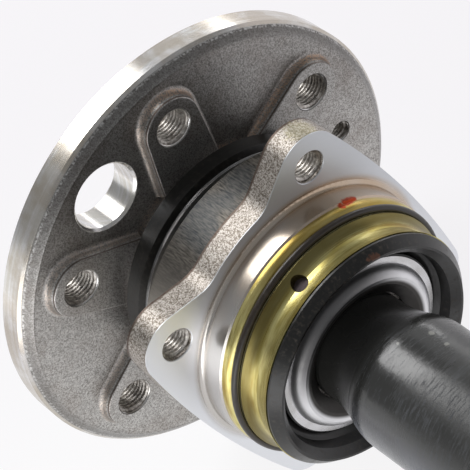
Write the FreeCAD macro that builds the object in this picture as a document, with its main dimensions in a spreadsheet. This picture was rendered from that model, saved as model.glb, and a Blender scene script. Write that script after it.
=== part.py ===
import FreeCAD, Part
import math
import os
import re
import Sketcher

# Wheel end of a van's rear drive shaft: a six-bolt hub on a double-row tapered roller unit,
# the four-eared bearing housing that bolts to the axle tube, its seals and zinc-plated carrier,
# and the tubular half shaft with its splined ends. Millimetres, X along the shaft from the
# wheel's mounting face inboard, Z up, origin at the centre of that face.

driving_sizes = [
    # wheel flange
    ("rim_thickness", 10.0, "machined rim, wheel face to forged back"),
    ("rim_chamfer", 0.8, "edge break on the rim"),
    ("rim_bevel", 3.6, "width of the forged slope behind the rim"),
    ("rim_margin", 3.6, "forged face outside the pads"),
    ("web_rise", 3.0, "forged back face above the rim's back edge"),
    ("pad_rise", 4.4, "wheel bolt pads above the forged back face"),
    ("pad_half_width", 13.5, "half width of a pad at its bolt hole"),
    ("pad_root_half_width", 15.0, "half width of a pad at the neck"),
    ("pad_root_overlap", 2.0, "how far outside the neck the pads begin"),
    ("pad_draft", 14.0, "forging draft of the pad walls, degrees"),
    ("pad_foot_fillet", 1.8, "fillet where a pad meets the forged face"),
    ("pad_top_round", 0.5, "rounding of a pad's top edge"),
    ("bolt_circle_radius", 65.0, "wheel bolt circle"),
    ("bolt_hole_radius", 7.05, "M14 wheel bolt hole at the thread's outside"),
    ("bolt_count", 6, "wheel bolt holes"),
    ("hole_chamfer", 0.5, "mouth chamfer of the tapped holes"),
    ("access_setback", 1.0, "tool access hole inside the bolt circle"),
    ("access_hole_radius", 12.75, "tool access hole"),
    ("access_chamfer", 1.0, "edge break of the access hole"),
    ("screw_hole_radius", 4.05, "M8 hole for the brake disc's screw"),
    ("hub_clock_angle", 10.4, "turn of the hub against the housing, degrees"),
    # wheel side of the hub
    ("pilot_radius", 42.0, "wheel centring spigot"),
    ("pilot_height", 9.0, "how far the spigot stands out"),
    ("pilot_chamfer", 1.5, "lead-in on the spigot"),
    ("relief_width", 5.0, "shallow relief round the spigot"),
    ("relief_depth", 0.8, "depth of that relief"),
    ("recess_radius", 31.0, "recess round the axle bolt"),
    ("recess_floor", 8.0, "floor of the recess from the wheel face"),
    ("hub_wall", 14.0, "hub wall under the axle bolt's washer"),
    # hub neck and stub
    ("root_fillet", 7.5, "fillet from the forged face to the neck"),
    ("neck_lead", 0.5, "straight neck between that fillet and the seal's thrower"),
    ("neck_step", 0.8, "hub neck above the bearing ring's land"),
    ("neck_length", 10.0, "hub neck under the wheel side seal"),
    ("collar_step", 5.0, "rolled collar outside the bearing seat"),
    ("collar_height", 4.0, "rolled collar beyond the ring's face"),
    ("collar_crown_step", 1.6, "crown of the collar outside the bearing seat"),
    ("collar_crown_width", 3.0, "crown of the collar to its mouth"),
    ("collar_roll", 70.0, "turn of the collar's rounded flank, degrees"),
    ("mouth_depth", 3.4, "depth of the tapered mouth of the hub bore"),
    # splines in the hub
    ("relief_length", 18.0, "plain hub bore ahead of the splines"),
    ("counterbore_depth", 12.5, "plain hub bore behind the splines"),
    ("spline_tip_radius", 18.2, "outside of the shaft's teeth"),
    ("spline_depth", 1.4, "height of the shaft's teeth"),
    ("spline_count", 30, "teeth"),
    ("spline_play", 0.15, "clearance at the tips and roots of the teeth"),
    ("flank_play", 0.12, "room beside each tooth"),
    ("tooth_flank_angle", 30.0, "slope of a tooth flank, degrees"),
    ("bore_relief_step", 1.2, "plain bore outside the teeth"),
    ("counterbore_step", 3.2, "counterbore outside the teeth"),
    ("stub_wall", 5.6, "hub stub round that counterbore"),
    # rolling rows
    ("row_offset", 9.5, "each row from the joint of the inner rings"),
    ("roller_lean", 14.5, "lean of a roller's axis, degrees"),
    ("roller_taper", 1.5, "half the taper of a roller, degrees"),
    ("roller_length", 12.4, "length of a roller"),
    ("roller_count", 22, "rollers in a row"),
    ("roller_play", 0.12, "clearance between a roller and its races"),
    ("race_margin", 0.4, "race beyond each end of a roller"),
    ("cage_wall", 1.4, "thickness of a cage"),
    ("cage_rim", 1.7, "end ring of a cage beyond its windows"),
    ("window_play", 0.25, "clearance of a roller in its window"),
    # inner rings
    ("outboard_ring_width", 23.0, "width of the wheel side inner ring"),
    ("land_room", 2.3, "seal land of the other inner ring beyond the seal's lip"),
    ("ring_wall", 3.35, "inner ring under the small end of its race"),
    ("rib_height", 1.95, "rib above the large end of a race"),
    ("small_rib", 0.8, "rib at the small end of the rollers"),
    ("ring_nose", 3.0, "rounded bore edge that the collar fills"),
    ("ring_chamfer", 0.6, "edge break of the rings"),
    # bearing housing
    ("wheel_seal_room", 7.6, "housing beyond its wheel side race"),
    ("wheel_seal_step", 0.5, "wheel side seal bore outside the race"),
    ("nose_wall", 3.7, "housing wall at its wheel side end"),
    ("nose_slope", 8.0, "length of the sloped nose"),
    ("inner_seal_gap", 1.3, "inboard race to its seal bore"),
    ("inner_seal_step", 1.75, "inboard seal bore outside the race"),
    ("inner_seal_width", 5.3, "depth of the inboard seal bore"),
    ("carrier_seat_step", 1.9, "counterbore for the carrier outside the seal bore"),
    ("carrier_seat_depth", 2.5, "depth of that counterbore"),
    ("spigot_wall", 5.2, "spigot outside that counterbore"),
    ("spigot_length", 10.2, "spigot that enters the axle tube"),
    ("spigot_root", 1.5, "fillet at the spigot's root"),
    ("spigot_chamfer", 0.8, "edge break of the spigot"),
    ("barrel_step", 2.8, "forged barrel outside the spigot"),
    ("flange_thickness", 10.3, "thickness of the four-eared flange"),
    ("waist_step", 3.8, "flange between the ears outside the barrel"),
    ("ear_reach", 9.5, "circle of the ear holes outside the barrel"),
    ("ear_angle", 52.9, "angle of the ear holes above the horizontal, degrees"),
    ("ear_radius", 13.6, "rounding of an ear"),
    ("side_bulge", 3.4, "flange side at mid height beyond the ears"),
    ("ear_flank_angle", 25.0, "slope from an ear to the waist, degrees"),
    ("ear_valley_fillet", 12.0, "fillet where an ear meets the waist"),
    ("ear_hole_radius", 6.05, "M12 hole at the thread's outside"),
    ("ear_root_fillet", 2.4, "fillet behind the flange"),
    # seals on both sides
    ("seal_sheet", 1.3, "steel sheet of the seal cases"),
    ("thrower_sheet", 1.1, "steel sheet of the throwers"),
    ("case_gap", 1.8, "case clear of the thrower's sleeve"),
    ("seal_sleeve_length", 4.3, "sleeve of the wheel side case in its bore"),
    ("lip_gap", 0.3, "running gap of the seal lips"),
    ("lip_thickness", 0.8, "thickness of a rubber lip"),
    ("lip_root", 1.4, "rubber where a lip leaves its case"),
    ("shield_step", 2.3, "black shield outside the housing's end"),
    ("shield_length", 8.6, "how far the shield reaches to the wheel"),
    ("shield_wall", 1.9, "rubber wall of the shield"),
    ("shield_gap", 1.0, "shield clear of the thrower's rim"),
    ("seal_setback", 0.2, "inboard seal behind the housing's end"),
    ("thrower_stand_off", 0.4, "inboard thrower beyond the housing's end"),
    ("thrower_clearance", 1.0, "inboard thrower inside the seal bore"),
    ("encoder_thickness", 1.5, "magnetised rubber ring"),
    ("encoder_width", 4.6, "radial width of the magnetised ring"),
    # carrier for the axle tube seal
    ("carrier_sheet", 1.4, "steel sheet of the carrier"),
    ("collar_gap", 0.5, "carrier's collar outside the inboard seal"),
    ("band_setback", 0.5, "band inside the spigot's radius"),
    ("band_width", 3.9, "width of the band"),
    ("band_drop", 1.8, "fall of the band to its end"),
    ("band_bend", 62.0, "turn of the band's curve, degrees"),
    ("cord_radius", 1.3, "half the O-ring's section"),
    ("cord_play", 0.05, "O-ring clear of its groove"),
    ("groove_depth", 0.95, "depth of the O-ring's groove"),
    ("lip_step", 0.4, "sleeve's lip inside the band's end"),
    ("waist_reach", 5.5, "sleeve from its lip to its waist"),
    ("waist_depth", 3.1, "fall of the sleeve to its waist"),
    ("waist_bend", 36.5, "turn of the sleeve's hollow, degrees"),
    ("flare_length", 6.8, "sleeve from its waist to its end"),
    ("flare_rise", 1.8, "rise of the sleeve to its end"),
    ("flare_bend", 25.5, "turn of the sleeve's flare, degrees"),
    ("vent_radius", 3.1, "round hole in the sleeve"),
    ("vent_setback", 0.3, "that hole ahead of the waist"),
    ("vent_angle", 85.3, "angle of that hole, degrees"),
    # axle tube seal
    ("seal_front_height", 4.6, "black seal beyond the sleeve's end"),
    ("crown_setback", 3.7, "crown of the black seal inside the sleeve's end"),
    ("rim_crown", 0.9, "width of the crown"),
    ("rim_width", 3.2, "crown of the black seal to its inner edge"),
    ("seal_case_depth", 10.9, "depth of the seal's case in the sleeve"),
    ("seal_case_wall", 2.5, "height of the case's end flanges"),
    ("lip_depth", 5.2, "seal's lip behind the sleeve's end"),
    ("spring_radius", 0.8, "section of the garter spring"),
    ("spring_step", 3.1, "garter spring's circle outside the land"),
    ("spring_setback", 0.7, "garter spring behind the lip"),
    # half shaft
    ("shaft_play", 0.8, "gap between shaft neck and hub bore"),
    ("stub_pilot_step", 0.3, "plain end inside the roots of the teeth"),
    ("neck_run", 0.5, "straight neck beyond the collar"),
    ("swell_length", 15.0, "length of the neck's hollow curve"),
    ("swell_share", 0.55, "share of the swell that the hollow curve makes"),
    ("swell_bend", 19.0, "turn of the hollow curve, degrees"),
    ("shoulder_length", 10.0, "length of the round shoulder"),
    ("shoulder_bend", 23.5, "turn of the round shoulder, degrees"),
    ("tube_radius", 25.5, "outside of the shaft's tube"),
    ("tube_wall", 6.0, "wall of the tube"),
    ("stub_straight", 48.0, "stub from its shoulder to the weld"),
    ("weld_bead", 0.7, "height of the weld's bead"),
    ("weld_width", 4.0, "width of the weld's bead"),
    ("shaft_end", 800.0, "inboard end of the shaft from the wheel face"),
    ("nose_length", 9.0, "nose beyond the clip's groove"),
    ("nose_step", 3.6, "height of the bevel at its end"),
    ("nose_bevel", 3.0, "length of that bevel"),
    ("clip_setback", 3.0, "clip's groove behind the teeth"),
    ("clip_width", 1.8, "width of the clip"),
    ("clip_depth", 1.4, "clip's groove inside the roots of the teeth"),
    ("clip_height", 0.7, "clip above the teeth"),
    ("clip_turn", 325.0, "how far the clip reaches round, degrees"),
    ("clip_play", 0.1, "clearance of the clip in its groove"),
    ("side_spline_length", 38.0, "teeth for the differential's side gear"),
    ("side_tip_step", 1.9, "those teeth inside the journal"),
    ("side_tooth_height", 1.3, "height of those teeth"),
    ("journal_run_out", 4.0, "slope from the journal to the teeth"),
    ("journal_radius", 19.5, "ground journal of the side gear end"),
    ("journal_length", 28.0, "length of the journal"),
    ("journal_step", 0.7, "shoulder at the journal's end"),
    ("far_neck_length", 28.0, "swell between the weld and the journal"),
    # axle bolt
    ("bolt_radius", 8.0, "M16 axle bolt"),
    ("bolt_play", 0.1, "clearance of the bolt in the shaft"),
    ("bolt_reach", 36.0, "bolt inside the shaft"),
    ("bolt_point", 2.0, "bevel at the bolt's end"),
    ("bolt_bore_room", 4.0, "tapped hole beyond the bolt's end"),
    ("washer_overlap", 13.0, "washer outside the bolt"),
    ("washer_thickness", 4.0, "thickness of the washer"),
    ("head_flange_radius", 17.0, "flange of the bolt's head"),
    ("head_flange_height", 2.5, "height of that flange"),
    ("head_flats", 24.0, "across the flats of the head"),
    ("head_height", 9.0, "height of the head over its flange"),
]

# Places and radii that follow from the driving sizes
derived = {
    "web_face": "rim_thickness + web_rise",
    "pad_face": "web_face + pad_rise",
    "access_inner_edge": "access_circle_radius - access_hole_radius - 2 * access_chamfer",
    "hub_fillet": "min(root_fillet; access_inner_edge - neck_radius)",
    "fillet_end": "neck_radius + hub_fillet",
    "neck_start": "web_face + root_fillet + neck_lead",
    "neck_end": "neck_start + neck_length",
    "web_edge": "bolt_circle_radius + pad_half_width + rim_margin",
    "flange_radius": "web_edge + rim_bevel + rim_chamfer",
    "access_circle_radius": "bolt_circle_radius - access_setback",
    "access_edge_radius": "access_circle_radius + access_hole_radius + access_chamfer",
    "pad_root_radius": "neck_radius + pad_root_overlap",
    "relief_radius": "pilot_radius + relief_width",
    "hub_wall_back": "recess_floor + hub_wall",
    # hub stub, then the races outward from it, along the shaft from the middle of a row
    "spline_root_radius": "spline_tip_radius - spline_depth",
    "bore_relief_radius": "spline_tip_radius + bore_relief_step",
    "counterbore_radius": "spline_tip_radius + counterbore_step",
    "stub_radius": "counterbore_radius + stub_wall",
    "cup_angle": "roller_lean + roller_taper",
    "cone_angle": "roller_lean - roller_taper",
    "cone_small_radius": "stub_radius + ring_wall",
    "cone_near": "cone_small_radius / sin(cone_angle)",
    "roller_near": "cone_near * cos(roller_taper) + race_margin",
    "roller_distance": "roller_near + roller_length / 2",
    "roller_far": "roller_near + roller_length",
    "cup_mean_radius": "roller_distance / cos(roller_taper) * sin(cup_angle)",
    "apex_length": "cup_mean_radius / tan(cup_angle)",
    "window_near": "roller_near - window_play",
    "window_far": "roller_far + window_play",
    "window_half_width": "roller_distance * tan(roller_taper) + window_play",
    "cup_reach": "roller_length / 2 * cos(roller_lean) + race_margin",
    "cup_large_radius": "cup_mean_radius + cup_reach * tan(cup_angle)",
    "cup_small_radius": "cup_mean_radius - cup_reach * tan(cup_angle)",
    "cone_far": "(roller_far + race_margin / 2) / cos(roller_taper)",
    "rib_reach": "cone_far * cos(cone_angle) - apex_length",
    "nose_reach": "apex_length - cone_near * cos(cone_angle)",
    "cone_large_radius": "cone_far * sin(cone_angle)",
    # rings and hub stub
    "row_middle": "neck_end + outboard_ring_width",
    "ring_end": "lip_place + land_room",
    "ring_land_radius": "cone_large_radius + rib_height",
    "neck_radius": "ring_land_radius + neck_step",
    "collar_radius": "stub_radius + collar_step",
    "collar_end": "ring_end + collar_height",
    "collar_crown_radius": "stub_radius + collar_crown_step",
    "collar_mouth_radius": "collar_crown_radius - collar_crown_width",
    "spline_start": "hub_wall_back + relief_length",
    "spline_end": "collar_end - counterbore_depth",
    "tooth_middle": "(spline_root_radius + spline_tip_radius) / 2",
    # housing
    "race_start": "row_middle - row_offset - cup_reach",
    "race_end": "row_middle + row_offset + cup_reach",
    "housing_start": "race_start - wheel_seal_room",
    "wheel_seal_bore_radius": "cup_large_radius + wheel_seal_step",
    "housing_nose_radius": "wheel_seal_bore_radius + nose_wall",
    "inner_seal_start": "race_end + inner_seal_gap",
    "inner_seal_bore_radius": "cup_large_radius + inner_seal_step",
    "carrier_seat_radius": "inner_seal_bore_radius + carrier_seat_step",
    "spigot_radius": "carrier_seat_radius + spigot_wall",
    "spigot_end": "inner_seal_start + inner_seal_width",
    "ear_face": "spigot_end - spigot_length",
    "ear_back": "ear_face - flange_thickness",
    "housing_radius": "spigot_radius + barrel_step",
    "ear_waist_radius": "housing_radius + waist_step",
    "ear_circle_radius": "housing_radius + ear_reach",
    "ear_fillet": "min(ear_root_fillet; ear_reach - ear_hole_radius - 2 * hole_chamfer)",
    "ear_hole_y": "ear_circle_radius * cos(ear_angle)",
    "ear_hole_z": "ear_circle_radius * sin(ear_angle)",
    # flange outline: where its side curve, ear, flank and waist meet
    "side_gap": "ear_radius + side_bulge",
    "side_curve": "(side_gap^2 + ear_hole_z^2 - ear_radius^2) / (2 * side_bulge)",
    "side_turn": "atan(ear_hole_z / (side_curve - side_gap))",
    "side_meets_ear_y": "ear_hole_y + ear_radius * cos(side_turn)",
    "side_meets_ear_z": "ear_hole_z + ear_radius * sin(side_turn)",
    "ear_meets_flank_y": "ear_hole_y - ear_radius * sin(ear_flank_angle)",
    "ear_meets_flank_z": "ear_hole_z + ear_radius * cos(ear_flank_angle)",
    "flank_offset": "ear_hole_z * cos(ear_flank_angle) - ear_hole_y * sin(ear_flank_angle) + ear_radius",
    "flank_length": "sqrt(ear_waist_radius^2 - flank_offset^2)",
    "flank_meets_waist_y": "flank_length * cos(ear_flank_angle) - flank_offset * sin(ear_flank_angle)",
    "flank_meets_waist_z": "flank_length * sin(ear_flank_angle) + flank_offset * cos(ear_flank_angle)",
    # wheel side seal
    "wheel_case_face": "housing_start - seal_sheet",
    "wheel_sleeve_radius": "neck_radius + thrower_sheet",
    "wheel_case_radius": "wheel_sleeve_radius + case_gap",
    "wheel_rubber_face": "wheel_case_face - seal_sheet",
    "shield_radius": "housing_nose_radius + shield_step",
    "shield_inner_radius": "shield_radius - shield_wall",
    "shield_start": "wheel_case_face - shield_length",
    "thrower_radius": "shield_inner_radius - shield_gap",
    "wheel_lip_x": "neck_start + thrower_sheet + lip_gap",
    # inboard seal
    "inner_case_back": "inner_seal_start + seal_sheet",
    "inner_case_bore": "inner_seal_bore_radius - seal_sheet",
    "inner_sleeve_radius": "ring_land_radius + thrower_sheet",
    "inner_case_radius": "inner_sleeve_radius + case_gap + lip_thickness",
    "thrower_flange": "spigot_end + thrower_stand_off",
    "thrower_back": "thrower_flange + thrower_sheet",
    "inner_thrower_radius": "inner_seal_bore_radius - thrower_clearance",
    "inner_lip_x": "thrower_flange - lip_gap",
    # carrier
    "band_radius": "spigot_radius - band_setback",
    "band_end": "spigot_end + band_width",
    "band_end_radius": "band_radius - band_drop",
    "groove_floor": "band_end_radius - groove_depth",
    "cord_circle_radius": "groove_floor + cord_play + cord_radius",
    "sleeve_start": "band_end + 2 * cord_radius + 2 * cord_play",
    "sleeve_lip_radius": "band_end_radius - lip_step",
    "sleeve_waist": "sleeve_start + waist_reach",
    "sleeve_waist_radius": "sleeve_lip_radius - waist_depth",
    "sleeve_bore_radius": "sleeve_waist_radius - carrier_sheet",
    "sleeve_end": "sleeve_waist + flare_length",
    "sleeve_end_radius": "sleeve_waist_radius + flare_rise",
    "carrier_collar_radius": "inner_seal_bore_radius + collar_gap",
    # axle tube seal
    "axle_case_end": "sleeve_end + lip_gap",
    "axle_case_start": "sleeve_end - seal_case_depth",
    "axle_case_radius": "sleeve_bore_radius - seal_case_wall",
    "axle_case_bore": "sleeve_bore_radius - seal_sheet",
    "axle_lip_radius": "ring_land_radius + lip_gap",
    "seal_front": "sleeve_end + seal_front_height",
    "crown_radius": "sleeve_end_radius - crown_setback",
    "rim_inner_radius": "crown_radius - rim_width",
    "lip_place": "sleeve_end - lip_depth",
    "spring_place": "lip_place - spring_setback",
    "spring_circle_radius": "ring_land_radius + spring_step",
    # half shaft
    "shaft_neck": "counterbore_radius - shaft_play",
    "stub_pilot_radius": "spline_root_radius - stub_pilot_step",
    "stub_bore": "bolt_radius + bolt_play",
    "bolt_end": "hub_wall_back + bolt_reach",
    "bolt_bore_end": "bolt_end + bolt_bore_room",
    "neck_curve_start": "collar_end + neck_run",
    "swell_middle": "neck_curve_start + swell_length",
    "swell_middle_radius": "shaft_neck + swell_share * (tube_radius - shaft_neck)",
    "swell_end": "swell_middle + shoulder_length",
    "tube_bore": "tube_radius - tube_wall",
    "bead_radius": "tube_radius + weld_bead",
    "weld_start": "swell_end + stub_straight",
    "clip_groove": "shaft_end - nose_length",
    "clip_groove_end": "clip_groove + clip_width + clip_play",
    "side_spline_end": "clip_groove - clip_setback",
    "side_spline_start": "side_spline_end - side_spline_length",
    "journal_end": "side_spline_start - journal_run_out",
    "journal_start": "journal_end - journal_length",
    "weld_end": "journal_start - far_neck_length",
    "side_tip_radius": "journal_radius - side_tip_step",
    "side_root_radius": "side_tip_radius - side_tooth_height",
    "side_tooth_middle": "(side_tip_radius + side_root_radius) / 2",
    "clip_groove_radius": "side_root_radius - clip_depth",
    "clip_radius": "side_tip_radius + clip_height",
    "clip_start": "clip_groove + clip_play / 2",
    "nose_radius": "side_tip_radius - nose_step",
    # axle bolt
    "washer_face": "recess_floor - washer_thickness",
    "washer_radius": "bolt_radius + washer_overlap",
    "head_seat": "washer_face - head_flange_height",
    "head_corner_radius": "head_flats / 2 / cos(30)",
}

doc = FreeCAD.newDocument("DriveShaft")
sheet = doc.addObject("Spreadsheet::Sheet", "Sizes")
for row, (alias, value, note) in enumerate(driving_sizes, start=1):
    sheet.set("A%d" % row, str(value))
    sheet.setAlias("A%d" % row, alias)
    sheet.set("B%d" % row, note)
doc.recompute()
aliases = {alias for alias, value, note in driving_sizes}
x_axis = FreeCAD.Vector(1, 0, 0)
z_axis = FreeCAD.Vector(0, 0, 1)
full_turn = 360
head_sides = 6
overshoot = 1.0
near = 1e-3
sub_parts = []


def bound(text):
    # the same formula in terms of the sheet's cells
    def cell(word):
        name = word[0]
        if name in derived:
            return "(" + bound(derived[name]) + ")"
        return "Sizes." + name if name in aliases else name
    return re.sub(r"[a-z_]+", cell, text)


def size(text):
    # the present value of a size or of a formula of sizes
    return float(sheet.evalExpression(bound(text)))


def row_place(side, along):
    # a place along the shaft in the inboard row (side +1) or its mirror image, the outboard row
    return "row_middle %s (row_offset + (%s))" % ("+" if side > 0 else "-", along)


def bend(here, there, turn):
    # radius of an arc between two corners that turns by this angle
    across = "(%s) - (%s)" % (there[0], here[0])
    up = "(%s) - (%s)" % (there[1], here[1])
    return "sqrt((%s)^2 + (%s)^2) / 2 / sin((%s) / 2)" % (across, up, turn)


def new_body(label):
    body = doc.addObject("PartDesign::Body", label)
    body.Label = label
    sub_parts.append(body)
    return body


def origin_item(body, role):
    return [item for item in body.Origin.OriginFeatures if item.Role == role][0]


def new_sketch(body, name, role="XY_Plane", offset=None):
    sketch = body.newObject("Sketcher::SketchObject", body.Label + "_" + name)
    sketch.AttachmentSupport = (origin_item(body, role), [""])
    sketch.MapMode = "FlatFace"
    if offset:
        sketch.setExpression("AttachmentOffset.Base.z", bound(offset))
    return sketch


def hold(sketch, kind, element, text):
    # a sketch constraint tied to a formula of sizes
    place = sketch.addConstraint(Sketcher.Constraint(kind, *element, size(text)))
    sketch.setExpression("Constraints[%d]" % place, bound(text))


def draw_outline(sketch, corners):
    # corners are (x, y) formulas; a third item makes the run to the next corner an arc, either
    # ("radius", its radius, side) or ("turn", the angle it turns by, side), with its centre to the
    # left of the run when side is +1 and to the right when it is -1
    first = sketch.GeometryCount
    points = [FreeCAD.Vector(size(corner[0]), size(corner[1]), 0) for corner in corners]
    starts, ends = [], []
    for index, corner in enumerate(corners):
        number = first + index
        here, there = points[index], points[(index + 1) % len(points)]
        if len(corner) == 2:
            sketch.addGeometry(Part.LineSegment(here, there), False)
            starts.append((number, 1))
            ends.append((number, 2))
            continue
        kind, amount, side = corner[2]
        radius = bend(corner, corners[(index + 1) % len(corners)], amount) if kind == "turn" else amount
        run = there - here
        left = FreeCAD.Vector(-run.y, run.x, 0).normalize()
        rise = math.sqrt(size(radius) ** 2 - (run.Length / 2) ** 2)
        centre = (here + there) * 0.5 + left * (side * rise)
        turned = (here, there) if side > 0 else (there, here)
        angles = [math.atan2(end.y - centre.y, end.x - centre.x) for end in turned]
        sketch.addGeometry(Part.ArcOfCircle(Part.Circle(centre, z_axis, size(radius)), *angles), False)
        starts.append((number, 1 if side > 0 else 2))
        ends.append((number, 2 if side > 0 else 1))
        hold(sketch, "Radius", (number,), radius)
    for index, corner in enumerate(corners):
        following = starts[(index + 1) % len(corners)]
        sketch.addConstraint(Sketcher.Constraint("Coincident", *ends[index], *following))
        hold(sketch, "DistanceX", (-1, 1) + starts[index], corner[0])
        hold(sketch, "DistanceY", (-1, 1) + starts[index], corner[1])


def draw_circle(sketch, x, y, radius):
    centre = FreeCAD.Vector(size(x), size(y), 0)
    number = sketch.addGeometry(Part.Circle(centre, z_axis, size(radius)), False)
    hold(sketch, "DistanceX", (-1, 1, number, 3), x)
    hold(sketch, "DistanceY", (-1, 1, number, 3), y)
    hold(sketch, "Radius", (number,), radius)


def revolve(body, name, corners, turn=None):
    # turns a half section, drawn as (along the shaft, radius), about the shaft's axis
    sketch = new_sketch(body, name + "_section")
    draw_outline(sketch, corners)
    return revolve_sketch(body, name, sketch, "H_Axis", turn)


def revolve_sketch(body, name, sketch, axis, turn=None):
    feature = body.newObject("PartDesign::Revolution", body.Label + "_" + name)
    feature.Profile = sketch
    feature.ReferenceAxis = (sketch, [axis])
    feature.Angle = full_turn
    if turn:
        feature.setExpression("Angle", bound(turn))
    return feature


def ring(label, corners, turn=None):
    body = new_body(label)
    revolve(body, "turning", corners, turn)
    return body


def pad(body, name, sketch, length):
    feature = body.newObject("PartDesign::Pad", body.Label + "_" + name)
    feature.Profile = sketch
    feature.setExpression("Length", bound(length))
    return feature


def groove(body, name, sketch, axis):
    # cuts by turning a section about one of its own edges
    feature = body.newObject("PartDesign::Groove", body.Label + "_" + name)
    feature.Profile = sketch
    feature.ReferenceAxis = (sketch, [axis])
    feature.Angle = full_turn
    return feature


def pocket(body, name, sketch, length):
    # cuts along the sketch's own normal
    feature = body.newObject("PartDesign::Pocket", body.Label + "_" + name)
    feature.Profile = sketch
    feature.setExpression("Length", bound(length))
    feature.Reversed = True
    return feature


def repeat(body, name, feature, count):
    pattern = body.newObject("PartDesign::PolarPattern", body.Label + "_" + name)
    pattern.Originals = [feature]
    pattern.Axis = (origin_item(body, "X_Axis"), [""])
    pattern.Angle = full_turn
    pattern.setExpression("Occurrences", bound(count))
    body.Tip = pattern
    return pattern


def soften(body, name, kind, wanted, measure, amount):
    # rounds or bevels those edges of the body so far that the test picks out
    doc.recompute()
    base = body.Tip
    names = ["Edge%d" % number for number, edge in enumerate(base.Shape.Edges, start=1) if wanted(edge)]
    feature = body.newObject("PartDesign::" + kind, body.Label + "_" + name)
    feature.Base = (base, names)
    feature.setExpression(measure, bound(amount))
    return feature


def is_round(edge):
    return hasattr(edge, "Curve") and edge.Curve.TypeId == "Part::GeomCircle"


def lies_at(edge, place):
    box = edge.BoundBox
    return abs(box.XMin - size(place)) < near and abs(box.XMax - size(place)) < near


def mouth_of(radius):
    # picks the rims of drilled holes of this radius that run along the shaft
    def wanted(edge):
        if not is_round(edge):
            return False
        return abs(edge.Curve.Radius - size(radius)) < near and abs(edge.Curve.Axis.x) > 1 - near
    return wanted


def cut_teeth(body, name, start, end, root, tip, middle, inside, play):
    # one gap between two teeth, cut along the shaft and repeated round it
    count = "spline_count"
    slope = "-" if inside else "+"

    def half_width(radius):
        return "(%s * sin(90 / %s) + %s %s ((%s) - %s) * tan(tooth_flank_angle))" % (
            middle, count, play, slope, radius, middle)

    low = "(%s - %s)" % (root, overshoot) if inside else root
    high = tip if inside else "(%s + %s)" % (tip, overshoot)
    sketch = new_sketch(body, name + "_gap", "YZ_Plane", start)
    draw_outline(sketch, [
        (low, "-" + half_width(low)),
        (high, "-" + half_width(high)),
        (high, half_width(high)),
        (low, half_width(low)),
    ])
    gap = pocket(body, name + "_cut", sketch, "(%s) - (%s)" % (end, start))
    repeat(body, name, gap, count)


def clock(body, angle):
    # turns a finished piece about the shaft
    body.Placement = FreeCAD.Placement(FreeCAD.Vector(), FreeCAD.Rotation(x_axis, 0))
    body.setExpression("Placement.Rotation.Angle", bound(angle))


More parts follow.
